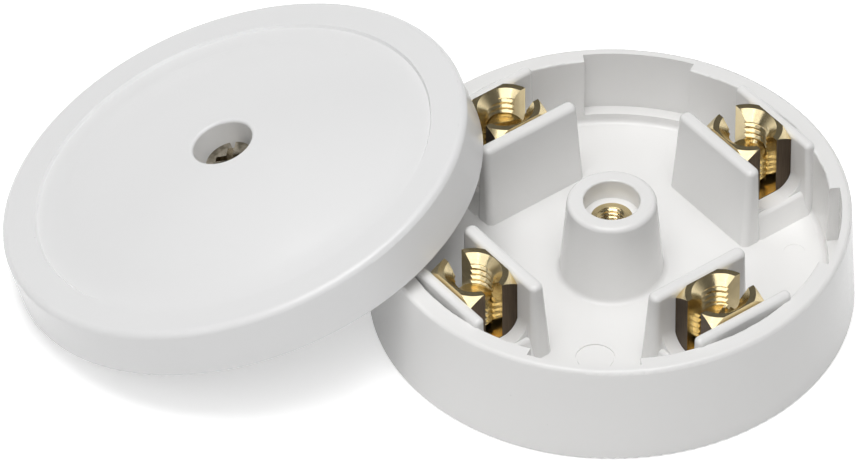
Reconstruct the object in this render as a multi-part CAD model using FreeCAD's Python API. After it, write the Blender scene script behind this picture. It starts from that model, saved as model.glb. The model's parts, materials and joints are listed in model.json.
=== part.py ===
"""Round four-terminal junction box, 80 mm across, with its cover off and leaning on the base.

The base lies on the table with its back face at z = 0 and its axis on Z. Its four knock-out
cable entries face +X, +Y, -X and -Y, and the four brass terminals stand between them. The cover
rests beside it towards -X: its low edge is on the table and two of its four locating tongues
lie on the rim of the base. All sizes are in millimetres.
"""
import FreeCAD, Part
import math
import os

os.makedirs("parts", exist_ok=True)

# Base moulding
rim_radius = 40.0          # outside of the wall at the rim
foot_radius = 40.8         # outside of the wall at the table, wider by the mould's draft
base_height = 19.1
wall = 3.4                 # wall between the entries
inner_draft = 0.3          # how much the wall thickens from rim to floor
rim_round = 0.75
foot_round = 0.5
corner_round = 0.3         # small roundings at inner edges
floor_top = 5.4
floor_thickness = 2.4
floor_fillet = 0.9
foot_ring_width = 4.3
foot_pad_radius = 8.0      # foot under the centre post, level with the foot ring

# Knock-out cable entries: the wall is thinned from inside, above a sill
entry_count = 4
entry_skin = 1.65
entry_angle = 28.6
entry_sill = 7.2

# Fixing-screw knock-outs in the floor; the front one has a witness ring inside
fixing_radius = 22.2
fixing_hole_radius = 3.3
fixing_skin = 0.8
witness_width = 0.25
witness_depth = 0.2

# Mark of an ejector pin on the floor
ejector_radius = 1.8
ejector_depth = 0.08
ejector_place = 30.9       # distance from the base's axis
ejector_heading = 14.3     # degrees round Z

# Centre post
post_rise = 1.6            # post top above the rim
post_top_radius = 7.5
post_foot_radius = 8.8
post_round = 0.9
post_recess_radius = 4.75
post_recess_depth = 3.9

# Brass insert moulded into the post
insert_radius = 3.5
insert_length = 10.0
insert_groove = 0.35
insert_groove_length = 1.6
insert_bore_radius = 2.1   # tapping size of an M5 thread
insert_bore_depth = 9.2
insert_mouth = 0.4
moulded_gap = 0.02         # between a moulded-in or seated piece and its seat

# Brass terminal blocks, turned and milled from flat bar
terminal_count = 4
terminal_inset = 7.6       # from the inside of the wall to the terminals' axes
block_width = 9.8          # across the slot
block_length = 11.0        # along the slot
block_rise = 1.8           # block top above the rim
block_seat = 7.5
slot_width = 3.5
slot_floor_web = 2.0
land_radius = 5.85         # flat ring round the countersink, where the turned chamfer starts
top_chamfer_angle = 45.0
bottom_chamfer_radius = 5.6
bottom_chamfer_angle = 60.0
countersink_radius = 4.8
terminal_bore_radius = 3.15
stake_radius = 2.5         # spigot through the floor, riveted over underneath
stake_head_radius = 3.4
stake_head_height = 1.0
rivet_room = 1.0           # left between the riveted heads and the foot ring

# Terminal screws
screw_pitch = 1.2
screw_length = 5.0
screw_clearance = 0.05
screw_end_chamfer = 0.5
screw_end_gap = 0.05       # left over the slot floor with the screw fully home
screw_turns_up = (1, 2, 1, 1)   # whole turns each screw is backed off, counted from the first terminal
screw_slot_width = 1.1
screw_slot_depth = 1.5
screw_slot_turn = 25.0     # degrees from the radial direction

# Plastic wells that hold the blocks
block_gap = 0.05
wall_half_length = 9.7     # half the length of a well's walls
plinth_half_length = 8.8
plinth_end_slope = 1.6     # how much further the plinth's foot reaches than its top
plinth_top = 9.4
plinth_round = 0.7
inner_wall_rise = 1.9      # top of the well's inner wall above the rim
inner_wall_thickness = 2.45
inner_wall_draft = 1.4
inner_wall_end_round = 1.15
end_draft = 0.5
outer_rib_rise = 1.3
outer_rib_thickness = 1.9
outer_rib_round = 0.8
well_round = 0.9
trough_fillet = 3.2

# Cover
cover_radius = 41.2        # at the skirt's lower edge
cover_draft = 0.25
skirt_height = 9.25
skirt_round = 0.3
skirt_thickness = 3.4
cover_edge_round = 1.2
cover_shell = 2.4
land_inner_radius = 35.0
land_step = 0.5
step_draft = 0.35
dome_rise = 5.5            # dome above the land
dome_fillet = 14.0         # soft hollow where the dome meets the land's step
tongue_depth = 1.8
tongue_thickness = 1.8
tongue_clearance = 0.3
tongue_angle = 20.0
tongue_root = 4.0

# Cover screw boss and its captive screw
counterbore_radius = 5.2
counterbore_edge_round = 0.5
counterbore_depth = 6.5    # from the dome's top to the screw's seat
boss_radius = 6.5
boss_clearance = 0.1
spigot_clearance = 0.25
spigot_length = 3.0
captive_web = 2.0
captive_hole_radius = 2.35
relief_radius = 2.8
head_radius = 4.2
head_height = 2.6
head_round = 0.5
head_gap = 0.05
neck_radius = 2.0
neck_length = 6.0
thread_radius = 2.45
shank_length = 16.0
tip_chamfer = 0.8
recess_width = 1.15
recess_depth = 1.5
recess_reach = 2.3

# Where the cover rests
rest_heading = 35.8904      # where round its own axis the cover's tongues bear on the rim, from the base's side
cover_direction = 179.75   # degrees round Z
rest_gap = 0.05
rest_inset = 0.6           # how far inside the rounded rim the tongues bear
least_tilt = 3.0           # degrees between which the resting tilt is looked for
most_tilt = 45.0
halvings = 60              # of that range, until the tilt is exact

overlap = 0.4              # how deep joined shapes run into each other before they are fused
past = 1.0                 # how far a cutting shape runs past the face that it cuts
steep = 0.8                # rise over length from which an edge counts as upright
closeness = 1e-3           # how nearly level or in line a face or an edge has to be


class Bow:
    """A point that the edge between two corners bows through."""

    def __init__(self, a, b):
        self.a = a
        self.b = b


def upright(a, b):
    return FreeCAD.Vector(a, 0, b)


def round_corner(before, corner, after, radius):
    """Start, middle and end of the arc that rounds a corner between two straight edges."""
    to_before = (before - corner).normalize()
    to_after = (after - corner).normalize()
    half = to_before.getAngle(to_after) / 2
    reach = radius / math.tan(half)
    middle = (to_before + to_after).normalize()
    centre = corner + middle * (radius / math.sin(half))
    return corner + to_before * reach, centre - middle * radius, corner + to_after * reach


def outline(corners, place):
    """Face inside a closed outline. A corner is (a, b) or (a, b, rounding radius)."""
    points = [item if isinstance(item, Bow) else place(item[0], item[1]) for item in corners]
    starts, ends, edges = {}, {}, []
    count = len(corners)
    for i, item in enumerate(corners):
        if isinstance(item, Bow):
            continue
        starts[i] = ends[i] = points[i]
        if len(item) == 3 and item[2] > 0:
            first, middle, last = round_corner(points[i - 1], points[i], points[(i + 1) % count], item[2])
            starts[i], ends[i] = first, last
            edges.append(Part.Arc(first, middle, last).toShape())
    for i, item in enumerate(corners):
        if isinstance(item, Bow):
            middle = place(item.a, item.b)
            edges.append(Part.Arc(ends[i - 1], middle, starts[(i + 1) % count]).toShape())
        elif (i + 1) % count in starts and (ends[i] - starts[(i + 1) % count]).Length > 1e-6:
            edges.append(Part.LineSegment(ends[i], starts[(i + 1) % count]).toShape())
    return Part.Face(Part.Wire(Part.__sortEdges__(edges)))


def spin(corners):
    """Solid of revolution about Z from corners (radius, height)."""
    axis = FreeCAD.Vector(0, 0, 1)
    return outline(corners, upright).revolve(FreeCAD.Vector(0, 0, 0), axis, 360)


def disc(radius, low, high, x=0.0, y=0.0):
    return Part.makeCylinder(radius, high - low, FreeCAD.Vector(x, y, low))


def block(x_low, x_high, y_low, y_high, z_low, z_high):
    corner = FreeCAD.Vector(x_low, y_low, z_low)
    return Part.makeBox(x_high - x_low, y_high - y_low, z_high - z_low, corner)


def turned(shape, degrees):
    copy = shape.copy()
    copy.rotate(FreeCAD.Vector(0, 0, 0), FreeCAD.Vector(0, 0, 1), degrees)
    return copy


def sector(corners, angle, heading):
    """Part of a solid of revolution about Z, centred on a heading in degrees."""
    axis = FreeCAD.Vector(0, 0, 1)
    part = outline(corners, upright).revolve(FreeCAD.Vector(0, 0, 0), axis, angle)
    return turned(part, heading - angle / 2)


def ring_sector(inner, outer, low, high, angle, heading):
    return sector([(inner, low), (outer, low), (outer, high), (inner, high)], angle, heading)


def entry_headings():
    return [360.0 / entry_count * i for i in range(entry_count)]


def terminal_headings():
    return [360.0 / terminal_count * (i + 0.5) for i in range(terminal_count)]


def steep_edges(shape):
    """Edges that run mostly upwards."""
    found = []
    for edge in shape.Edges:
        run = edge.Vertexes[-1].Point - edge.Vertexes[0].Point
        if abs(run.z) > steep * run.Length:
            found.append(edge)
    return found


def top_face(shape):
    flat = [face for face in shape.Faces if face.BoundBox.ZLength < closeness]
    return max(flat, key=lambda face: face.CenterOfMass.z)


def level_circles(shape, radius, height):
    """Level circular edges of one radius at one height."""
    found = []
    for edge in shape.Edges:
        box = edge.BoundBox
        level = abs(box.ZMax - height) < closeness and box.ZLength < closeness
        if level and abs(box.XMax - radius) < closeness:
            found.append(edge)
    return found


def tapered_wall(foot, top, low, high, plan_round, top_round):
    """Upright wall between two rectangles (x low, x high, half width), rounded at ends and top."""
    wall_body = Part.makeWedge(foot[0], low, -foot[2], -top[2], top[0],
                               foot[1], high, foot[2], top[2], top[1])
    wall_body.rotate(FreeCAD.Vector(0, 0, 0), FreeCAD.Vector(1, 0, 0), 90)
    wall_body = wall_body.makeFillet(plan_round, steep_edges(wall_body))
    return wall_body.makeFillet(top_round, top_face(wall_body).Edges)


# Heights and radii that follow from the sizes above
post_top = base_height + post_rise
insert_top = post_top - post_recess_depth
block_top = base_height + block_rise
slot_floor = block_seat + slot_floor_web
block_half_width = block_width / 2
block_half_length = block_length / 2
floor_under = floor_top - floor_thickness
inner_radius = rim_radius - wall
terminal_pitch_radius = inner_radius - terminal_inset
well_inner_face = block_half_width + block_gap


def outer_radius_at(height):
    """Outside of the base's drafted wall at one height."""
    return foot_radius + (rim_radius - foot_radius) * height / base_height


inner_floor_radius = min(inner_radius - inner_draft, outer_radius_at(floor_top) - wall)
entry_back_radius = rim_radius - entry_skin
entry_sill_radius = min(entry_back_radius, outer_radius_at(entry_sill) - entry_skin)
foot_ring_inner = max(foot_radius - foot_ring_width, terminal_pitch_radius + stake_head_radius + rivet_room)


def well_wall(side, thickness, draft, high, plan_round, top_round):
    """One wall of a well; side is -1 towards the post and +1 towards the rim."""
    face = terminal_pitch_radius + side * well_inner_face
    back = face + side * thickness
    top = (min(face, back), max(face, back), wall_half_length)
    foot_back = back + side * draft
    foot = (min(face, foot_back), max(face, foot_back), wall_half_length + end_draft)
    return tapered_wall(foot, top, floor_top - overlap, high, plan_round, top_round)


def trough_fillet_strip(side):
    """Concave fillet between the plinth and one wall of the well."""
    face = terminal_pitch_radius + side * well_inner_face
    slant = trough_fillet * (1 - math.sqrt(0.5))
    corner = [(face + side * overlap, plinth_top - overlap),
              (face + side * overlap, plinth_top + trough_fillet),
              (face, plinth_top + trough_fillet),
              Bow(face - side * slant, plinth_top + slant),
              (face - side * trough_fillet, plinth_top),
              (face - side * trough_fillet, plinth_top - overlap)]
    half = plinth_half_length - plinth_round
    strip = outline(corner, upright).extrude(FreeCAD.Vector(0, 2 * half, 0))
    strip.translate(FreeCAD.Vector(0, -half, 0))
    return strip


def make_well():
    """Plinth, inner wall, outer rib and trough fillets of one well, on the +X side."""
    low = floor_top - overlap
    back = foot_radius - wall / 2
    face = terminal_pitch_radius - well_inner_face - overlap
    foot = (face, back, plinth_half_length + plinth_end_slope)
    top = (face, back, plinth_half_length)
    plinth = tapered_wall(foot, top, low, plinth_top, plinth_round, plinth_round)
    inner = well_wall(-1, inner_wall_thickness, inner_wall_draft, base_height + inner_wall_rise,
                      inner_wall_end_round, well_round)
    outer = well_wall(1, outer_rib_thickness, 0.0, base_height + outer_rib_rise,
                      outer_rib_round, outer_rib_round)
    well = plinth.multiFuse([inner, outer, trough_fillet_strip(-1), trough_fillet_strip(1)])
    high = post_top + block_top
    inside_wall = spin([(0, 0), (outer_radius_at(0) - wall / 2, 0), (outer_radius_at(high) - wall / 2, high),
                        (0, high)])
    return well.common(inside_wall)


def make_well_cut():
    """Socket for the block and the hole for its riveted spigot."""
    reach = block_half_length + block_gap
    socket = block(terminal_pitch_radius - well_inner_face, terminal_pitch_radius + well_inner_face,
                   -reach, reach, block_seat, post_top + block_top)
    hole = disc(stake_radius + moulded_gap, 0, block_seat + overlap, terminal_pitch_radius)
    return socket.fuse(hole)


def make_witness_ring():
    """Shallow groove round the front fixing knock-out."""
    ring = disc(fixing_hole_radius, floor_top - witness_depth, floor_top + past, 0, -fixing_radius)
    inner = disc(fixing_hole_radius - witness_width, 0, post_top, 0, -fixing_radius)
    return ring.cut(inner)


def make_ejector_mark():
    place = math.radians(ejector_heading)
    return disc(ejector_radius, floor_top - ejector_depth, floor_top + past,
                ejector_place * math.cos(place), ejector_place * math.sin(place))


def make_base():
    insert_floor = insert_top - insert_length - moulded_gap
    body = spin([
        (0, 0), (foot_pad_radius, 0, corner_round), (foot_pad_radius, floor_under, corner_round),
        (foot_ring_inner, floor_under, corner_round), (foot_ring_inner, 0, corner_round),
        (foot_radius, 0, foot_round), (rim_radius, base_height, rim_round),
        (inner_radius, base_height, corner_round),
        (inner_floor_radius, floor_top, floor_fillet),
        (post_foot_radius, floor_top, floor_fillet), (post_top_radius, post_top, post_round),
        (post_recess_radius, post_top, corner_round), (post_recess_radius, insert_top),
        (insert_radius + moulded_gap, insert_top), (insert_radius + moulded_gap, insert_floor),
        (0, insert_floor)])
    well = make_well()
    body = body.multiFuse([turned(well, heading) for heading in terminal_headings()])
    cuts = [turned(make_well_cut(), heading) for heading in terminal_headings()]
    for heading in entry_headings():
        cuts.append(sector([
            (inner_floor_radius - past, entry_sill), (entry_sill_radius, entry_sill),
            (entry_back_radius, base_height), (entry_back_radius, base_height + past),
            (inner_floor_radius - past, base_height + past)], entry_angle, heading))
    for side in (-1, 1):
        cuts.append(disc(fixing_hole_radius, 0, floor_top - fixing_skin, 0, side * fixing_radius))
    cuts.append(make_witness_ring())
    cuts.append(make_ejector_mark())
    return body.cut(cuts)


def make_insert():
    low = insert_top - insert_length
    middle = insert_top - insert_length / 2
    neck = insert_radius - insert_groove
    body = spin([
        (0, low), (insert_radius, low), (insert_radius, middle - insert_groove_length / 2),
        (neck, middle - insert_groove_length / 2), (neck, middle + insert_groove_length / 2),
        (insert_radius, middle + insert_groove_length / 2), (insert_radius, insert_top),
        (0, insert_top)])
    bore = spin([
        (0, insert_top - insert_bore_depth), (insert_bore_radius, insert_top - insert_bore_depth),
        (insert_bore_radius, insert_top - insert_mouth),
        (insert_bore_radius + insert_mouth + overlap, insert_top + overlap), (0, insert_top + overlap)])
    return body.cut(bore)


def make_terminal_block():
    """Flat bar with both ends turned, countersunk and tapped, then slotted lengthwise."""
    corner = math.hypot(block_half_width, block_half_length) + overlap
    top_drop = (corner - land_radius) * math.tan(math.radians(top_chamfer_angle))
    bottom_rise = (corner - bottom_chamfer_radius) * math.tan(math.radians(bottom_chamfer_angle))
    turned_form = spin([
        (0, floor_under), (stake_radius, floor_under), (stake_radius, block_seat),
        (bottom_chamfer_radius, block_seat), (corner, block_seat + bottom_rise),
        (corner, block_top - top_drop), (land_radius, block_top), (0, block_top)])
    bar = block(-block_half_width, block_half_width, -block_half_length, block_half_length,
                0, block_top + past)
    body = turned_form.common(bar)
    sink_depth = countersink_radius - terminal_bore_radius
    bore = spin([
        (0, slot_floor), (terminal_bore_radius, slot_floor),
        (terminal_bore_radius, block_top - sink_depth), (countersink_radius, block_top),
        (countersink_radius, block_top + past), (0, block_top + past)])
    slot = block(-slot_width / 2, slot_width / 2, -block_length, block_length,
                 slot_floor, block_top + past)
    stake_head = spin([
        (0, floor_under - stake_head_height), (stake_radius, floor_under - stake_head_height),
        (stake_head_radius, floor_under - stake_head_height / 2), (stake_head_radius, floor_under),
        (0, floor_under)])
    body = body.cut([bore, slot]).fuse(stake_head)
    body.translate(FreeCAD.Vector(terminal_pitch_radius, 0, 0))
    return body


def make_terminal_screw(turns_up):
    """Grub screw with a driver slot, standing a number of whole turns above the slot floor."""
    low = slot_floor + screw_end_gap + turns_up * screw_pitch
    high = low + screw_length
    radius = terminal_bore_radius - screw_clearance
    body = spin([
        (0, low), (radius - screw_end_chamfer, low), (radius, low + screw_end_chamfer),
        (radius, high - screw_end_chamfer), (radius - screw_end_chamfer, high), (0, high)])
    slot = block(-radius - past, radius + past, -screw_slot_width / 2, screw_slot_width / 2,
                 high - screw_slot_depth, high + past)
    body = body.cut(turned(slot, screw_slot_turn))
    body.translate(FreeCAD.Vector(terminal_pitch_radius, 0, 0))
    return body


def dome_section():
    """Radius and centre height of the dome, and where it meets its concave fillet."""
    top = skirt_height + dome_rise
    valley = skirt_height - land_step
    foot = land_inner_radius - step_draft
    rise = top - valley
    reach = (foot * foot + rise * rise) / (2 * rise)
    radius = reach - dome_fillet
    centre = top - radius
    meet_x = radius * foot / reach
    meet_z = centre + radius * (reach - rise) / reach
    return radius, centre, meet_x, meet_z, foot, valley


def on_arc(radius, centre, x):
    return centre + math.sqrt(radius * radius - x * x)


def make_tongue(heading):
    """Locating tongue that drops inside the base's wall, with a root that runs into the skirt."""
    outer = rim_radius - entry_skin - tongue_clearance
    inner = outer - tongue_thickness
    skirt_middle = cover_radius - skirt_thickness / 2
    blade = ring_sector(inner, outer, -tongue_depth, tongue_root, tongue_angle, heading)
    root = ring_sector(min(inner, skirt_middle), max(outer, skirt_middle), skirt_round, tongue_root,
                       tongue_angle, heading)
    return blade.fuse(root)


def make_cover():
    """Cover in its own frame: axis on Z, skirt's lower edge at z = 0."""
    radius, centre, meet_x, meet_z, foot, valley = dome_section()
    hole_z = on_arc(radius, centre, counterbore_radius)
    bow_x = (meet_x + counterbore_radius) / 2
    fillet_centre = valley + dome_fillet
    swing = math.asin((foot - meet_x) / dome_fillet) / 2
    under_radius = radius - cover_shell
    under_flat = valley - cover_shell
    under_x = math.sqrt(under_radius ** 2 - (under_flat - centre) ** 2)
    boss_z = on_arc(under_radius, centre, boss_radius)
    under_bow = (under_x + boss_radius) / 2
    seat = skirt_height + dome_rise - counterbore_depth
    skirt_inner = cover_radius - skirt_thickness
    boss_low = post_rise + boss_clearance
    spigot_radius = post_recess_radius - spigot_clearance
    spigot_low = boss_low - spigot_length
    shell = spin([
        (cover_radius, 0, skirt_round), (cover_radius - cover_draft, skirt_height, cover_edge_round),
        (land_inner_radius, skirt_height), (foot, valley),
        Bow(foot - dome_fillet * math.sin(swing), fillet_centre - dome_fillet * math.cos(swing)),
        (meet_x, meet_z), Bow(bow_x, on_arc(radius, centre, bow_x)),
        (counterbore_radius, hole_z), (counterbore_radius, seat),
        (captive_hole_radius, seat), (captive_hole_radius, seat - captive_web),
        (relief_radius, seat - captive_web), (relief_radius, spigot_low),
        (spigot_radius, spigot_low, corner_round), (spigot_radius, boss_low),
        (boss_radius, boss_low, corner_round), (boss_radius, boss_z),
        Bow(under_bow, on_arc(under_radius, centre, under_bow)),
        (under_x, under_flat), (skirt_inner, under_flat, floor_fillet), (skirt_inner, 0, skirt_round)])
    shell = shell.makeFillet(counterbore_edge_round, level_circles(shell, counterbore_radius, hole_z))
    return shell.multiFuse([make_tongue(heading + 180.0 / entry_count) for heading in entry_headings()])


def make_cover_screw():
    """Captive cheese-head screw in the cover's frame."""
    seat = skirt_height + dome_rise - counterbore_depth + head_gap
    tip = seat - shank_length
    top = seat + head_height
    body = spin([
        (0, tip), (thread_radius - tip_chamfer, tip), (thread_radius, tip + tip_chamfer),
        (thread_radius, seat - neck_length), (neck_radius, seat - neck_length),
        (neck_radius, seat), (head_radius, seat), (head_radius, top, head_round), (0, top)])
    cross = [block(-recess_reach, recess_reach, -recess_width / 2, recess_width / 2,
                   top - recess_depth, top + past),
             block(-recess_width / 2, recess_width / 2, -head_radius - past, head_radius + past,
                   top - recess_depth, top + past)]
    return body.cut(cross)


def resting_height(tilt):
    """Height of the cover's centre with its rounded low edge on the table."""
    spared = skirt_round * (math.sin(tilt) + math.cos(tilt) - 1)
    return cover_radius * math.sin(tilt) - spared


def tongue_bearing():
    """Where a tongue's inner edge bears, in the cover's frame: along and across the way to the base."""
    edge = rim_radius - entry_skin - tongue_clearance - tongue_thickness
    heading = math.radians(rest_heading)
    return edge * math.cos(heading), edge * math.sin(heading)


def resting_tilt():
    """Tilt at which the low edge is on the table and two tongues bear on the base's rim."""
    along = tongue_bearing()[0]

    def gap_at(tilt):
        height = resting_height(tilt) + along * math.sin(tilt) - tongue_depth / math.cos(tilt)
        return height - base_height - rest_gap

    low, high = math.radians(least_tilt), math.radians(most_tilt)
    for _ in range(halvings):
        middle = (low + high) / 2
        if gap_at(middle) > 0:
            high = middle
        else:
            low = middle
    return high


def resting_distance(tilt):
    """Distance from the base's axis to the centre of the cover's lower edge."""
    along, across = tongue_bearing()
    bearing = rim_radius - rest_inset
    return math.sqrt(bearing ** 2 - across ** 2) + along * math.cos(tilt)


def rest_beside_base(shape):
    """Tilt a shape of the cover's frame and set it down beside the base."""
    tilt = resting_tilt()
    moved = shape.copy()
    moved.rotate(FreeCAD.Vector(0, 0, 0), FreeCAD.Vector(0, 1, 0), math.degrees(tilt))
    moved.translate(FreeCAD.Vector(resting_distance(tilt), 0, resting_height(tilt)))
    moved.rotate(FreeCAD.Vector(0, 0, 0), FreeCAD.Vector(0, 0, 1), cover_direction)
    return moved


def export(name, shape):
    solids = shape.Solids
    whole = solids[0] if len(solids) == 1 else Part.makeCompound(solids)
    print(name, len(solids), "solid", round(whole.Volume, 1), "mm3", "valid" if whole.isValid() else "INVALID")
    whole.exportStep("parts/" + name + ".step")


export("base", make_base())
export("post_insert", make_insert())
for number, heading in enumerate(terminal_headings(), start=1):
    export("terminal_block_%d" % number, turned(make_terminal_block(), heading))
    screw = make_terminal_screw(screw_turns_up[number - 1])
    export("terminal_screw_%d" % number, turned(screw, heading))
export("cover", rest_beside_base(make_cover()))
export("cover_screw", rest_beside_base(make_cover_screw()))
tilt = resting_tilt()
print("cover tilt", round(math.degrees(tilt), 3), "centre height", round(resting_height(tilt), 3))
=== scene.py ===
"""Looks of a round four-terminal junction box: glossy white moulded plastic, machined brass
terminals with cut threads, and a plated cover screw, on a white studio table."""

import json
import math

import bmesh
import bpy
from bpy.props import FloatProperty, FloatVectorProperty, IntProperty, PointerProperty
from mathutils import Matrix, Vector

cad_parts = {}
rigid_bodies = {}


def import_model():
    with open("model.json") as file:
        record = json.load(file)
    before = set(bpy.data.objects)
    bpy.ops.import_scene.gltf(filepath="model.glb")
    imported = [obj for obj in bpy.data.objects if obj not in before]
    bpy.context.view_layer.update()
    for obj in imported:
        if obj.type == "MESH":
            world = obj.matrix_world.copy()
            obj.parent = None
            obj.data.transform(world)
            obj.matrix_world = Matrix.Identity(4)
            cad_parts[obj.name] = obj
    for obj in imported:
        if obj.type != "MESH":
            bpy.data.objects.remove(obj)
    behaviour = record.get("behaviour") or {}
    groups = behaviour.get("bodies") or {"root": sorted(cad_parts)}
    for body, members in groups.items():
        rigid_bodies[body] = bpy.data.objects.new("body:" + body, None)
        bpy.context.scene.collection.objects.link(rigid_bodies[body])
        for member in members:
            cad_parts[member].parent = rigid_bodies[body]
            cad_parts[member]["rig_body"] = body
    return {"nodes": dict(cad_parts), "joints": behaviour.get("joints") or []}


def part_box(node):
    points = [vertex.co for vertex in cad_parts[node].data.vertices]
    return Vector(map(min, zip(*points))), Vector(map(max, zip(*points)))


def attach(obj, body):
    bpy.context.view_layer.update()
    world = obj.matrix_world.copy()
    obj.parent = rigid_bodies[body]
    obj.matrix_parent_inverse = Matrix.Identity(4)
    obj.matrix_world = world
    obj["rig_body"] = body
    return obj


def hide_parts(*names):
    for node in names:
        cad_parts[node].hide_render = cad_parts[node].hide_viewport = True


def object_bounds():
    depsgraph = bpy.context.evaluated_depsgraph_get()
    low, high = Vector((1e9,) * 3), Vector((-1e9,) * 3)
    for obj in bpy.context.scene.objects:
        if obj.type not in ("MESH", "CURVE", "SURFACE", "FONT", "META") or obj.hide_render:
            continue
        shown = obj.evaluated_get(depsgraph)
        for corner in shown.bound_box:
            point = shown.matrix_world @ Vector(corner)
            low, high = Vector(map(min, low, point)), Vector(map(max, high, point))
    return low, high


bl_info = {
    "name": "Round junction box",
    "version": (1, 0, 0),
    "blender": (4, 5, 0),
    "location": "View3D > Sidebar > Junction box",
    "description": "Finishes the parts of a round junction box and sets up its studio stage",
    "category": "Object",
}

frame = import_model()
CAD_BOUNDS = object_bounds()

MM = 0.001
JOINTS = {joint["name"]: joint for joint in frame["joints"]}

CLOUD_SHARE = 2.6  # size of the plastic's cloudy patches, as a share of its waves
GRAIN_HEIGHT = 0.012  # height of the plastic's grain, as a share of its waves
STREAK_SQUASH = 0.03  # how much streaks are drawn out along a piece's axis
STAINS_PER_METRE = 420.0
TABLE_GLOW = 0.45  # light that the table adds to its own in the picture and in reflections
ROUND_STEPS = 96  # points round a thread


class PlasticSettings(bpy.types.PropertyGroup):
    """Moulded white plastic of the base and cover"""

    base_color: FloatVectorProperty(
        name="Base colour", description="Colour of the base moulding",
        subtype="COLOR", size=3, min=0, max=1, default=(0.86, 0.855, 0.845))
    cover_color: FloatVectorProperty(
        name="Cover colour", description="Colour of the cover moulding, a little cooler than the base",
        subtype="COLOR", size=3, min=0, max=1, default=(0.85, 0.85, 0.85))
    roughness: FloatProperty(
        name="Roughness", description="Roughness of the moulded surface", min=0, max=1, default=0.23)
    flow_size: FloatProperty(
        name="Flow size", description="Size of the faint waves left by the mould",
        subtype="DISTANCE", unit="LENGTH", default=9 * MM)


class BrassSettings(bpy.types.PropertyGroup):
    """Brass of the terminals and the post insert"""

    color: FloatVectorProperty(
        name="Colour", description="Colour of freshly cut brass",
        subtype="COLOR", size=3, min=0, max=1, default=(0.88, 0.735, 0.44))
    roughness: FloatProperty(
        name="Roughness", description="Roughness of the turned faces", min=0, max=1, default=0.17)
    pitch: FloatProperty(
        name="Thread pitch", description="Pitch of the terminal screws' thread",
        subtype="DISTANCE", unit="LENGTH", default=1.2 * MM)
    thread_depth: FloatProperty(
        name="Thread depth", description="Height of the thread from root to crest",
        subtype="DISTANCE", unit="LENGTH", default=0.5 * MM)


class StageSettings(bpy.types.PropertyGroup):
    """Table, lamps and camera"""

    view_azimuth: FloatProperty(
        name="View azimuth", description="Heading of the camera round the box",
        subtype="ANGLE", unit="ROTATION", default=math.radians(8.4))
    view_elevation: FloatProperty(
        name="View elevation", description="Height of the camera above the table",
        subtype="ANGLE", unit="ROTATION", default=math.radians(42.807))
    view_roll: FloatProperty(
        name="View roll", description="Small tilt of the camera about its line of sight",
        subtype="ANGLE", unit="ROTATION", default=math.radians(-0.848))
    view_distance: FloatProperty(
        name="View distance", description="Distance from the camera to the point it aims at",
        subtype="DISTANCE", unit="LENGTH", default=1.5113)
    aim: FloatVectorProperty(
        name="Aim", description="Point at the middle of the picture",
        subtype="TRANSLATION", unit="LENGTH", size=3, default=(-31.36 * MM, 2.55 * MM, 7.67 * MM))
    lens: FloatProperty(
        name="Lens", description="Focal length of the camera in millimetres", min=1, default=378.5)
    table_color: FloatVectorProperty(
        name="Table colour", description="Colour of the table and backdrop",
        subtype="COLOR", size=3, min=0, max=1, default=(0.93, 0.93, 0.93))
    ambient_level: FloatProperty(
        name="Ambient level", description="Strength of the soft light from all round", min=0, default=0.1)
    ceiling_level: FloatProperty(
        name="Ceiling level", description="Brightness of the studio's ceiling in reflections",
        min=0, default=0.12)
    ceiling_edge: FloatVectorProperty(
        name="Ceiling edge", description="Sines of the heights between which the ceiling darkens",
        size=2, min=-1, max=1, default=(0.2, 0.5))


def settings(name):
    return getattr(bpy.context.scene, "junction_box_" + name)


def node(tree, kind, **values):
    """Adds a shader node and sets its attributes and, by name or index, its inputs."""
    made = tree.nodes.new(kind)
    for key, value in values.items():
        if key == "inputs":
            for socket, given in value.items():
                made.inputs[socket].default_value = given
        else:
            setattr(made, key, value)
    return made


def group_tree(name, inputs, outputs):
    """New shader node group with named sockets; each is (name, socket type, default)."""
    tree = bpy.data.node_groups.new(name, "ShaderNodeTree")
    for direction, sockets in (("INPUT", inputs), ("OUTPUT", outputs)):
        for label, kind, default in sockets:
            socket = tree.interface.new_socket(label, in_out=direction, socket_type=kind)
            if default is not None:
                socket.default_value = default
    return tree, tree.nodes.new("NodeGroupInput"), tree.nodes.new("NodeGroupOutput")


def material(name):
    made = bpy.data.materials.new(name)
    made.use_nodes = True
    shader = made.node_tree.nodes["Principled BSDF"]
    return made, made.node_tree, shader


def place_group(tree, group, **values):
    made = tree.nodes.new("ShaderNodeGroup")
    made.node_tree = group
    for label, value in values.items():
        made.inputs[label.replace("_", " ")].default_value = value
    return made


def sized_noise(tree, vector, size, detail, share=1.0):
    """Noise whose features have the given size, or a share of it; returns its value socket."""
    scale = node(tree, "ShaderNodeMath", operation="DIVIDE", inputs={0: 1.0 / share})
    tree.links.new(size, scale.inputs[1])
    noise = node(tree, "ShaderNodeTexNoise", inputs={"Detail": detail})
    tree.links.new(vector, noise.inputs["Vector"])
    tree.links.new(scale.outputs[0], noise.inputs["Scale"])
    return noise.outputs["Fac"]


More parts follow.
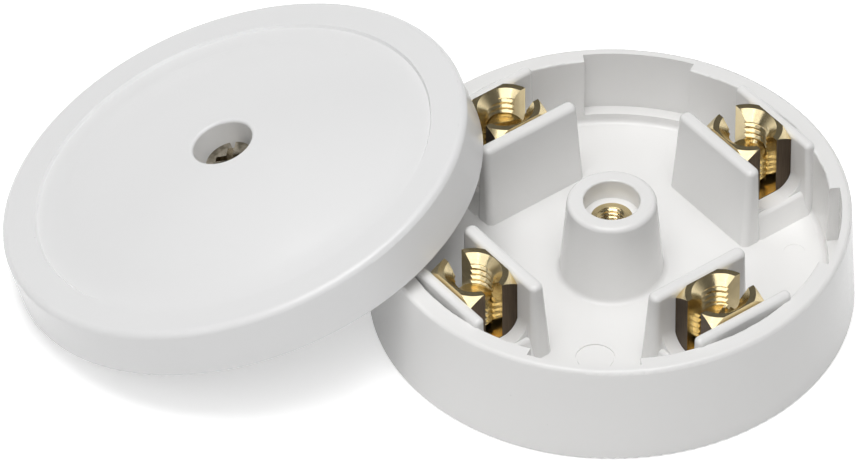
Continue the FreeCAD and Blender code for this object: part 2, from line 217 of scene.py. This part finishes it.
def mould_finish_group():
    """Faint waves, patchy gloss and cloudiness of a moulded surface."""
    tree, start, end = group_tree(
        "mould_finish",
        [("Flow Size", "NodeSocketFloat", 9 * MM), ("Grain Size", "NodeSocketFloat", 0.6 * MM)],
        [("Height", "NodeSocketFloat", None), ("Gloss Patches", "NodeSocketFloat", None),
         ("Cloud", "NodeSocketFloat", None)])
    place = node(tree, "ShaderNodeTexCoord").outputs["Object"]
    flow = sized_noise(tree, place, start.outputs["Flow Size"], detail=2.0)
    grain = sized_noise(tree, place, start.outputs["Grain Size"], detail=3.0)
    cloud = sized_noise(tree, place, start.outputs["Flow Size"], detail=4.0, share=CLOUD_SHARE)
    fine = node(tree, "ShaderNodeMath", operation="MULTIPLY", inputs={1: GRAIN_HEIGHT})
    tree.links.new(grain, fine.inputs[0])
    height = node(tree, "ShaderNodeMath", operation="ADD")
    tree.links.new(flow, height.inputs[0])
    tree.links.new(fine.outputs[0], height.inputs[1])
    tree.links.new(height.outputs[0], end.inputs["Height"])
    tree.links.new(grain, end.inputs["Gloss Patches"])
    tree.links.new(cloud, end.inputs["Cloud"])
    return tree


def specks_group():
    """Mask of a few tiny specks of dust, 1 on a speck and 0 elsewhere."""
    tree, start, end = group_tree(
        "specks",
        [("Spacing", "NodeSocketFloat", 3 * MM), ("Share", "NodeSocketFloat", 0.15),
         ("Speck Size", "NodeSocketFloat", 0.04)],
        [("Mask", "NodeSocketFloat", None)])
    place = node(tree, "ShaderNodeTexCoord")
    scale = node(tree, "ShaderNodeMath", operation="DIVIDE", inputs={0: 1.0})
    tree.links.new(start.outputs["Spacing"], scale.inputs[1])
    cells = node(tree, "ShaderNodeTexVoronoi", inputs={"Randomness": 1.0})
    tree.links.new(place.outputs["Object"], cells.inputs["Vector"])
    tree.links.new(scale.outputs[0], cells.inputs["Scale"])
    near = node(tree, "ShaderNodeMath", operation="LESS_THAN")
    tree.links.new(cells.outputs["Distance"], near.inputs[0])
    tree.links.new(start.outputs["Speck Size"], near.inputs[1])
    pick = node(tree, "ShaderNodeSeparateColor")
    tree.links.new(cells.outputs["Color"], pick.inputs[0])
    chosen = node(tree, "ShaderNodeMath", operation="LESS_THAN")
    tree.links.new(pick.outputs[0], chosen.inputs[0])
    tree.links.new(start.outputs["Share"], chosen.inputs[1])
    both = node(tree, "ShaderNodeMath", operation="MULTIPLY")
    tree.links.new(near.outputs[0], both.inputs[0])
    tree.links.new(chosen.outputs[0], both.inputs[1])
    tree.links.new(both.outputs[0], end.inputs["Mask"])
    return tree


def tool_marks_group():
    """Fine lines left by cutting: rings about the piece's own axis, or streaks along it."""
    tree, start, end = group_tree(
        "tool_marks",
        [("Line Size", "NodeSocketFloat", 0.08 * MM), ("Streak Size", "NodeSocketFloat", 0.25 * MM)],
        [("Rings", "NodeSocketFloat", None), ("Streaks", "NodeSocketFloat", None),
         ("Stain", "NodeSocketFloat", None)])
    place = node(tree, "ShaderNodeTexCoord")
    apart = node(tree, "ShaderNodeSeparateXYZ")
    tree.links.new(place.outputs["Object"], apart.inputs[0])
    flat = node(tree, "ShaderNodeCombineXYZ")
    tree.links.new(apart.outputs["X"], flat.inputs["X"])
    tree.links.new(apart.outputs["Y"], flat.inputs["Y"])
    radius = node(tree, "ShaderNodeVectorMath", operation="LENGTH")
    tree.links.new(flat.outputs[0], radius.inputs[0])
    lines = node(tree, "ShaderNodeMath", operation="DIVIDE")
    tree.links.new(radius.outputs["Value"], lines.inputs[0])
    tree.links.new(start.outputs["Line Size"], lines.inputs[1])
    rings = node(tree, "ShaderNodeTexNoise", noise_dimensions="1D", inputs={"Scale": 1.0, "Detail": 2.0})
    tree.links.new(lines.outputs[0], rings.inputs["W"])
    tree.links.new(rings.outputs["Fac"], end.inputs["Rings"])
    squeeze = node(tree, "ShaderNodeCombineXYZ")
    low = node(tree, "ShaderNodeMath", operation="MULTIPLY", inputs={1: STREAK_SQUASH})
    tree.links.new(apart.outputs["Z"], low.inputs[0])
    tree.links.new(apart.outputs["X"], squeeze.inputs["X"])
    tree.links.new(apart.outputs["Y"], squeeze.inputs["Y"])
    tree.links.new(low.outputs[0], squeeze.inputs["Z"])
    streaks = sized_noise(tree, squeeze.outputs[0], start.outputs["Streak Size"], detail=3.0)
    tree.links.new(streaks, end.inputs["Streaks"])
    stain = node(tree, "ShaderNodeTexNoise", inputs={"Scale": STAINS_PER_METRE, "Detail": 4.0})
    tree.links.new(place.outputs["Object"], stain.inputs["Vector"])
    tree.links.new(stain.outputs["Fac"], end.inputs["Stain"])
    return tree


def shared_group(name, make):
    return bpy.data.node_groups.get(name) or make()


def ramp(tree, source, low, high, from_low=0.3, from_high=0.7):
    """Maps a value between two limits onto another range."""
    made = node(tree, "ShaderNodeMapRange",
                inputs={"From Min": from_low, "From Max": from_high, "To Min": low, "To Max": high})
    tree.links.new(source, made.inputs["Value"])
    return made.outputs["Result"]


def mix_color(tree, factor, first, second):
    made = node(tree, "ShaderNodeMix", data_type="RGBA")
    made.inputs["A"].default_value = (*first, 1.0)
    made.inputs["B"].default_value = (*second, 1.0)
    tree.links.new(factor, made.inputs["Factor"])
    return made.outputs["Result"]


def bump(tree, height, distance, strength):
    made = node(tree, "ShaderNodeBump", inputs={"Strength": strength, "Distance": distance})
    tree.links.new(height, made.inputs["Height"])
    return made.outputs["Normal"]


def shade(color, share):
    return tuple(channel * share for channel in color)


def plastic_material(name, color):
    """Glossy white thermoset with faint moulding waves and a few specks of dust."""
    look = settings("plastic")
    made, tree, shader = material(name)
    finish = place_group(tree, shared_group("mould_finish", mould_finish_group), Flow_Size=look.flow_size)
    dust = place_group(tree, shared_group("specks", specks_group))
    cloudy = mix_color(tree, finish.outputs["Cloud"], shade(color, 0.985), color)
    speckled = node(tree, "ShaderNodeMix", data_type="RGBA")
    tree.links.new(ramp(tree, dust.outputs["Mask"], 0.0, 0.25, 0.0, 1.0), speckled.inputs["Factor"])
    tree.links.new(cloudy, speckled.inputs["A"])
    speckled.inputs["B"].default_value = (*shade(color, 0.45), 1.0)
    tree.links.new(speckled.outputs["Result"], shader.inputs["Base Color"])
    patches = ramp(tree, finish.outputs["Gloss Patches"], look.roughness - 0.02, look.roughness + 0.03)
    tree.links.new(patches, shader.inputs["Roughness"])
    shader.inputs["Specular IOR Level"].default_value = 0.4
    tree.links.new(bump(tree, finish.outputs["Height"], 0.1 * MM, 0.25), shader.inputs["Normal"])
    return made


def cut_brass_material():
    """Brass as the lathe and saw leave it, with fine rings and a little staining."""
    look = settings("brass")
    color = tuple(look.color)
    made, tree, shader = material("brass_cut")
    marks = place_group(tree, shared_group("tool_marks", tool_marks_group))
    stained = mix_color(tree, ramp(tree, marks.outputs["Stain"], 0.0, 1.0), shade(color, 0.86), color)
    tree.links.new(stained, shader.inputs["Base Color"])
    shader.inputs["Metallic"].default_value = 1.0
    rough = ramp(tree, marks.outputs["Streaks"], look.roughness - 0.05, look.roughness + 0.08)
    tree.links.new(rough, shader.inputs["Roughness"])
    tree.links.new(bump(tree, marks.outputs["Rings"], 0.01 * MM, 0.5), shader.inputs["Normal"])
    return made


def bar_brass_material():
    """Skin of the drawn bar on the blocks' sides: dull, brown and streaked along its length."""
    made, tree, shader = material("brass_bar_skin")
    marks = place_group(tree, shared_group("tool_marks", tool_marks_group), Streak_Size=0.14 * MM)
    brown = mix_color(tree, ramp(tree, marks.outputs["Streaks"], 0.0, 1.0),
                      (0.075, 0.053, 0.036), (0.13, 0.095, 0.062))
    tree.links.new(brown, shader.inputs["Base Color"])
    shader.inputs["Metallic"].default_value = 1.0
    tree.links.new(ramp(tree, marks.outputs["Streaks"], 0.3, 0.42), shader.inputs["Roughness"])
    tree.links.new(bump(tree, marks.outputs["Streaks"], 0.02 * MM, 0.4), shader.inputs["Normal"])
    return made


def plated_material():
    """Nickel plating over steel, slightly uneven."""
    made, tree, shader = material("nickel_plating")
    marks = place_group(tree, shared_group("tool_marks", tool_marks_group), Line_Size=0.12 * MM)
    grey = mix_color(tree, ramp(tree, marks.outputs["Stain"], 0.0, 1.0, 0.4, 0.6),
                     (0.23, 0.2, 0.15), (0.66, 0.6, 0.49))
    tree.links.new(grey, shader.inputs["Base Color"])
    shader.inputs["Metallic"].default_value = 1.0
    tree.links.new(ramp(tree, marks.outputs["Streaks"], 0.1, 0.2), shader.inputs["Roughness"])
    tree.links.new(bump(tree, marks.outputs["Rings"], 0.02 * MM, 0.5), shader.inputs["Normal"])
    return made


def mesh_object(name, mesh, matrix):
    """New object in the scene; the mesh is already in the object's own coordinates."""
    made = bpy.data.objects.new(name, mesh)
    bpy.context.scene.collection.objects.link(made)
    made.matrix_world = matrix
    return made


def ridge_height(phase):
    """Share of a thread's depth across one pitch: a flat root, two flanks and a flat crest."""
    steepness, root_flat = 1.35, 0.17
    return min(1.0, max(0.0, steepness * (1 - abs(2 * phase - 1)) - root_flat))


def threaded_surface(root, crest, pitch, low, high, taper=0.0, rows_per_turn=14):
    """Rows of points on a right-handed thread between two heights, fading out over taper."""
    rows = max(2, round((high - low) / pitch * rows_per_turn))
    made = []
    for row in range(rows + 1):
        z = low + (high - low) * row / rows
        ring = []
        for step in range(ROUND_STEPS):
            turn = step / ROUND_STEPS
            radius = root + (crest - root) * ridge_height((z / pitch - turn) % 1.0)
            if taper > 0:
                radius = min(radius, crest - taper + min(z - low, high - z))
            angle = 2 * math.pi * turn
            ring.append(Vector((radius * math.cos(angle), radius * math.sin(angle), z)))
        made.append(ring)
    return made


def skin_rows(rows, closed_ends=True, loop=False):
    """Mesh over rings of points, outside out when the rings climb."""
    shape = bmesh.new()
    rings = [[shape.verts.new(point) for point in row] for row in rows]
    count = len(rings[0])
    pairs = list(zip(rings, rings[1:]))
    if loop:
        pairs.append((rings[-1], rings[0]))
    for lower, upper in pairs:
        for i in range(count):
            j = (i + 1) % count
            shape.faces.new((lower[i], lower[j], upper[j], upper[i]))
    if closed_ends:
        shape.faces.new(list(reversed(rings[0])))
        shape.faces.new(rings[-1])
    bmesh.ops.recalc_face_normals(shape, faces=shape.faces)
    mesh = bpy.data.meshes.new("skin")
    shape.to_mesh(mesh)
    shape.free()
    return mesh


def circle(radius, z):
    turns = [2 * math.pi * i / ROUND_STEPS for i in range(ROUND_STEPS)]
    return [Vector((radius * math.cos(a), radius * math.sin(a), z)) for a in turns]


def box_mesh(low, high):
    shape = bmesh.new()
    bmesh.ops.create_cube(shape, size=1.0)
    low, high = Vector(low), Vector(high)
    size = high - low
    for vert in shape.verts:
        vert.co = Vector(low[i] + (vert.co[i] + 0.5) * size[i] for i in range(3))
    mesh = bpy.data.meshes.new("box")
    shape.to_mesh(mesh)
    shape.free()
    return mesh


def carved(mesh, cutter):
    """Mesh with another mesh in the same coordinates cut out of it."""
    body = mesh_object("carved_body", mesh, Matrix.Identity(4))
    tool = mesh_object("carving_tool", cutter, Matrix.Identity(4))
    step = body.modifiers.new("carve", "BOOLEAN")
    step.solver = "EXACT"
    step.operation = "DIFFERENCE"
    step.object = tool
    bpy.context.view_layer.update()
    result = bpy.data.meshes.new_from_object(body.evaluated_get(bpy.context.evaluated_depsgraph_get()))
    for made in (body, tool):
        bpy.data.objects.remove(made)
    return result


def dress(mesh, *materials, sharp_from=32.0):
    """Smooths a mesh up to an angle in degrees and gives it its materials."""
    mesh.shade_smooth()
    mesh.set_sharp_from_angle(angle=math.radians(sharp_from))
    mesh.materials.clear()
    for made in materials:
        mesh.materials.append(made)


def cad_mesh(name, to_local):
    """Copy of a CAD node's mesh in local coordinates, with its split vertices joined again."""
    mesh = frame["nodes"][name].data.copy()
    mesh.transform(to_local)
    shape = bmesh.new()
    shape.from_mesh(mesh)
    bmesh.ops.remove_doubles(shape, verts=shape.verts, dist=1e-7)
    shape.to_mesh(mesh)
    shape.free()
    if "custom_normal" in mesh.attributes:
        mesh.attributes.remove(mesh.attributes["custom_normal"])
    return mesh


def upright_at(name):
    """Placement with its origin on a terminal's axis and local X pointing away from the post."""
    low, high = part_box(name)
    centre = (low + high) / 2
    heading = math.atan2(centre.y, centre.x)
    return Matrix.Translation((centre.x, centre.y, 0)) @ Matrix.Rotation(heading, 4, "Z")


def numbered(prefix):
    return sorted(name for name in frame["nodes"] if name.startswith(prefix))


def screw_radius_of(low, high):
    """Radius of an upright round piece from its box."""
    return (high.x - low.x) / 2


def screw_home(name):
    """Height of a terminal screw's lower end when it is driven fully home."""
    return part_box(name)[0].z + JOINTS[name + "_drive"]["range_m"][0]


def finish_piece(piece, body, slot, *stands_for):
    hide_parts(*stands_for)
    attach(piece, body)


def body_holding(name):
    return frame["nodes"][name]["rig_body"]


class JUNCTION_BOX_OT_base(bpy.types.Operator):
    """Gives the base moulding its glossy white finish"""

    bl_idname = "junction_box.base"
    bl_label = "Finish base"

    def execute(self, context):
        color = tuple(settings("plastic").base_color)
        frame["nodes"]["base"].data.materials.clear()
        frame["nodes"]["base"].data.materials.append(plastic_material("base_plastic", color))
        return {"FINISHED"}


class JUNCTION_BOX_OT_cover(bpy.types.Operator):
    """Gives the cover moulding its glossy white finish"""

    bl_idname = "junction_box.cover"
    bl_label = "Finish cover"

    def execute(self, context):
        color = tuple(settings("plastic").cover_color)
        frame["nodes"]["cover"].data.materials.clear()
        frame["nodes"]["cover"].data.materials.append(plastic_material("cover_plastic", color))
        return {"FINISHED"}


class JUNCTION_BOX_OT_terminal_blocks(bpy.types.Operator):
    """Cuts the threads of the four terminal blocks and finishes their brass"""

    bl_idname = "junction_box.terminal_blocks"
    bl_label = "Build terminal blocks"

    bore_skim = 0.02 * MM
    square_on = 0.999  # how square a face stands to the block's sides to count as its skin
    at_the_skin = 0.98  # share of the block's half width from which a face counts as its skin

    def execute(self, context):
        look = settings("brass")
        cut, skin = cut_brass_material(), bar_brass_material()
        for name in numbered("terminal_block"):
            place = upright_at(name)
            low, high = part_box(name)
            screw_low, screw_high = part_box(name.replace("block", "screw"))
            screw_radius = screw_radius_of(screw_low, screw_high)
            floor = min(screw_home(screw) for screw in numbered("terminal_screw"))
            rows = threaded_surface(screw_radius - self.bore_skim, screw_radius + look.thread_depth,
                                    look.pitch, floor, high.z)
            mesh = carved(cad_mesh(name, place.inverted()), skin_rows(rows))
            dress(mesh, cut, skin)
            reach = (high.x - low.x) / (2 * math.sqrt(2))
            for face in mesh.polygons:
                sideways = max(abs(face.normal.x), abs(face.normal.y)) > self.square_on
                outermost = max(abs(face.center.x), abs(face.center.y)) > self.at_the_skin * reach
                face.material_index = 1 if sideways and outermost else 0
            piece = mesh_object(name + "_threaded", mesh, place)
            finish_piece(piece, body_holding(name), "brass", name)
        return {"FINISHED"}


class JUNCTION_BOX_OT_terminal_screws(bpy.types.Operator):
    """Builds the four slotted terminal screws with their threads"""

    bl_idname = "junction_box.terminal_screws"
    bl_label = "Build terminal screws"

    slot_width = 1.1 * MM
    slot_depth = 1.5 * MM
    end_chamfer = 0.7 * MM
    clearance = 0.08 * MM
    crest_clearance = 0.06 * MM
    slot_headings = (25, 70, -35, 115)

    def execute(self, context):
        look = settings("brass")
        brass = bpy.data.materials["brass_cut"]
        for name, heading in zip(numbered("terminal_screw"), self.slot_headings):
            place = upright_at(name)
            low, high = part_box(name)
            radius = screw_radius_of(low, high)
            rows = threaded_surface(radius - self.clearance,
                                    radius + look.thread_depth - self.crest_clearance, look.pitch,
                                    low.z, high.z, self.end_chamfer)
            slot = box_mesh((-2 * radius, -self.slot_width / 2, high.z - self.slot_depth),
                            (2 * radius, self.slot_width / 2, high.z + self.slot_depth))
            slot.transform(Matrix.Rotation(math.radians(heading), 4, "Z"))
            mesh = carved(skin_rows(rows), slot)
            dress(mesh, brass)
            piece = mesh_object(name + "_threaded", mesh, place)
            finish_piece(piece, body_holding(name), "brass", name)
        return {"FINISHED"}


class JUNCTION_BOX_OT_post_insert(bpy.types.Operator):
    """Cuts the thread of the brass insert at the bottom of the post"""

    bl_idname = "junction_box.post_insert"
    bl_label = "Build post insert"

    pitch = 0.8 * MM
    minor_radius = 2.08 * MM
    major_radius = 2.5 * MM
    blind_end = 1.0 * MM

    def execute(self, context):
        low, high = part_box("post_insert")
        rows = threaded_surface(self.minor_radius, self.major_radius, self.pitch,
                                low.z + self.blind_end, high.z + self.pitch)
        mesh = carved(cad_mesh("post_insert", Matrix.Identity(4)), skin_rows(rows))
        dress(mesh, bpy.data.materials["brass_cut"])
        piece = mesh_object("post_insert_threaded", mesh, Matrix.Identity(4))
        finish_piece(piece, body_holding("post_insert"), "brass", "post_insert")
        return {"FINISHED"}


class JUNCTION_BOX_OT_cover_screw(bpy.types.Operator):
    """Cuts the thread on the captive cover screw and plates it"""

    bl_idname = "junction_box.cover_screw"
    bl_label = "Build cover screw"

    pitch = 0.8 * MM
    root_radius = 2.06 * MM
    crest_radius = 2.47 * MM
    sleeve_radius = 3.0 * MM
    thread_length = 10.0 * MM

    def execute(self, context):
        turn = JOINTS["cover_screw_turn"]
        axis = Vector(turn["axis"]).normalized()
        place = Matrix.Translation(turn["pos_m"]) @ axis.to_track_quat("Z", "Y").to_matrix().to_4x4()
        mesh = cad_mesh("cover_screw", place.inverted())
        tip = min(vert.co.z for vert in mesh.vertices)
        rows = threaded_surface(self.root_radius, self.crest_radius, self.pitch,
                                tip - self.pitch, tip + self.thread_length)
        rows.append(circle(self.sleeve_radius, tip + self.thread_length))
        rows.append(circle(self.sleeve_radius, tip - self.pitch))
        mesh = carved(mesh, skin_rows(rows, closed_ends=False, loop=True))
        dress(mesh, plated_material())
        piece = mesh_object("cover_screw_threaded", mesh, place)
        finish_piece(piece, body_holding("cover_screw"), "plated_screw", "cover_screw")
        return {"FINISHED"}


def area_lamp(name, place, aim, size, power):
    """Square white lamp that points at a place."""
    data = bpy.data.lights.new(name, "AREA")
    data.shape = "SQUARE"
    data.size = size
    data.energy = power
    lamp = bpy.data.objects.new(name, data)
    bpy.context.scene.collection.objects.link(lamp)
    lamp.location = place
    lamp.rotation_mode = "QUATERNION"
    lamp.rotation_quaternion = (Vector(aim) - Vector(place)).to_track_quat("-Z", "Y")
    return lamp


def table_material():
    """White table that stays white to the camera and in reflections but keeps its shadows."""
    made, tree, shader = material("white_table")
    shader.inputs["Base Color"].default_value = (*settings("stage").table_color, 1.0)
    shader.inputs["Roughness"].default_value = 0.6
    shader.inputs["Specular IOR Level"].default_value = 0.2
    path = node(tree, "ShaderNodeLightPath")
    seen = node(tree, "ShaderNodeMath", operation="MAXIMUM")
    tree.links.new(path.outputs["Is Camera Ray"], seen.inputs[0])
    tree.links.new(path.outputs["Is Glossy Ray"], seen.inputs[1])
    passed = node(tree, "ShaderNodeMath", operation="MAXIMUM")
    tree.links.new(seen.outputs[0], passed.inputs[0])
    tree.links.new(path.outputs["Is Transmission Ray"], passed.inputs[1])
    glow = node(tree, "ShaderNodeMath", operation="MULTIPLY", inputs={1: TABLE_GLOW})
    tree.links.new(passed.outputs[0], glow.inputs[0])
    shader.inputs["Emission Color"].default_value = (1, 1, 1, 1)
    tree.links.new(glow.outputs[0], shader.inputs["Emission Strength"])
    return made


def studio_world(look):
    """White all round to the camera and low down in reflections, with a darker ceiling above."""
    world = bpy.data.worlds.new("studio")
    world.use_nodes = True
    tree = world.node_tree
    sky = tree.nodes["Background"]
    sky.inputs["Color"].default_value = (1, 1, 1, 1)
    path = node(tree, "ShaderNodeLightPath")
    place = node(tree, "ShaderNodeTexCoord")
    apart = node(tree, "ShaderNodeSeparateXYZ")
    tree.links.new(place.outputs["Generated"], apart.inputs[0])
    ceiling = ramp(tree, apart.outputs["Z"], 1.0, look.ceiling_level, *look.ceiling_edge)
    mirrored = node(tree, "ShaderNodeMath", operation="MAXIMUM")
    tree.links.new(path.outputs["Is Glossy Ray"], mirrored.inputs[0])
    tree.links.new(path.outputs["Is Transmission Ray"], mirrored.inputs[1])
    level = node(tree, "ShaderNodeMix", inputs={"A": look.ambient_level})
    tree.links.new(mirrored.outputs[0], level.inputs["Factor"])
    tree.links.new(ceiling, level.inputs["B"])
    seen = node(tree, "ShaderNodeMix", inputs={"B": 1.0})
    tree.links.new(path.outputs["Is Camera Ray"], seen.inputs["Factor"])
    tree.links.new(level.outputs["Result"], seen.inputs["A"])
    tree.links.new(seen.outputs["Result"], sky.inputs["Strength"])
    return world


class JUNCTION_BOX_OT_stage(bpy.types.Operator):
    """Sets up the white table, the soft lamps and the camera"""

    bl_idname = "junction_box.stage"
    bl_label = "Set stage"

    table_reach = 3.0
    table_gap = 0.02 * MM
    horizon = 6.0
    lamp_distance = 1.2
    # name, degrees round from the camera's heading, degrees above the table, size in metres, watts
    lamps = (
        ("overhead_softbox", 0, 89, 0.8, 8.8),
        ("front_softbox", 0, 60, 0.85, 3.9),
        ("left_softbox", -45, 35, 0.7, 1.9),
        ("back_softbox", 180, 35, 0.7, 1.04),
    )
    lamps_out_of_reflections = ("back_softbox",)

    def execute(self, context):
        scene = context.scene
        look = settings("stage")
        shape = bmesh.new()
        bmesh.ops.create_grid(shape, x_segments=8, y_segments=8, size=self.table_reach)
        mesh = bpy.data.meshes.new("table")
        shape.to_mesh(mesh)
        shape.free()
        table = mesh_object("table", mesh, Matrix.Translation((0, 0, CAD_BOUNDS[0].z - self.table_gap)))
        table.data.materials.append(table_material())
        scene.world = studio_world(look)
        middle = (CAD_BOUNDS[0] + CAD_BOUNDS[1]) / 2
        for name, turn, height, size, power in self.lamps:
            heading = look.view_azimuth + math.radians(turn)
            rise = math.radians(height)
            away = Vector((math.sin(heading) * math.cos(rise), -math.cos(heading) * math.cos(rise),
                           math.sin(rise)))
            lamp = area_lamp(name, middle + away * self.lamp_distance, middle, size, power)
            lamp.visible_glossy = name not in self.lamps_out_of_reflections
        self.add_camera(scene, look)
        scene.view_settings.view_transform = "Standard"
        return {"FINISHED"}

    def add_camera(self, scene, look):
        heading, rise, roll = look.view_azimuth, look.view_elevation, look.view_roll
        forward = Vector((-math.sin(heading) * math.cos(rise), math.cos(heading) * math.cos(rise),
                          -math.sin(rise)))
        right = Vector((math.cos(heading), math.sin(heading), 0))
        up = right.cross(forward)
        side = right * math.cos(roll) + up * math.sin(roll)
        top = up * math.cos(roll) - right * math.sin(roll)
        place = Vector(look.aim) - forward * look.view_distance
        turn = Matrix((side, top, -forward)).transposed().to_4x4()
        data = bpy.data.cameras.new("camera")
        data.lens = look.lens
        data.sensor_width = 36.0
        data.clip_start = 0.1
        data.clip_end = self.horizon
        camera = mesh_object("camera", data, Matrix.Translation(place) @ turn)
        scene.camera = camera


OPERATORS = (
    JUNCTION_BOX_OT_base,
    JUNCTION_BOX_OT_cover,
    JUNCTION_BOX_OT_terminal_blocks,
    JUNCTION_BOX_OT_terminal_screws,
    JUNCTION_BOX_OT_post_insert,
    JUNCTION_BOX_OT_cover_screw,
    JUNCTION_BOX_OT_stage,
)


class JUNCTION_BOX_PT_panel(bpy.types.Panel):
    """Lists the settings and steps of the junction box"""

    bl_label = "Junction box"
    bl_idname = "JUNCTION_BOX_PT_panel"
    bl_space_type = "VIEW_3D"
    bl_region_type = "UI"
    bl_category = "Junction box"

    def draw(self, context):
        for name in SETTINGS:
            group = settings(name)
            for key in group.bl_rna.properties.keys():
                if key not in ("rna_type", "name"):
                    self.layout.prop(group, key)
        for step in OPERATORS:
            self.layout.operator(step.bl_idname)


SETTINGS = {"plastic": PlasticSettings, "brass": BrassSettings, "stage": StageSettings}


def register():
    for kind in (*SETTINGS.values(), *OPERATORS, JUNCTION_BOX_PT_panel):
        bpy.utils.register_class(kind)
    for name, kind in SETTINGS.items():
        setattr(bpy.types.Scene, "junction_box_" + name, PointerProperty(type=kind))


def unregister():
    for name in SETTINGS:
        delattr(bpy.types.Scene, "junction_box_" + name)
    for kind in reversed((*SETTINGS.values(), *OPERATORS, JUNCTION_BOX_PT_panel)):
        bpy.utils.unregister_class(kind)


def main():
    register()
    for step in OPERATORS:
        folder, action = step.bl_idname.split(".")
        getattr(getattr(bpy.ops, folder), action)()


if __name__ == "__main__":
    main()
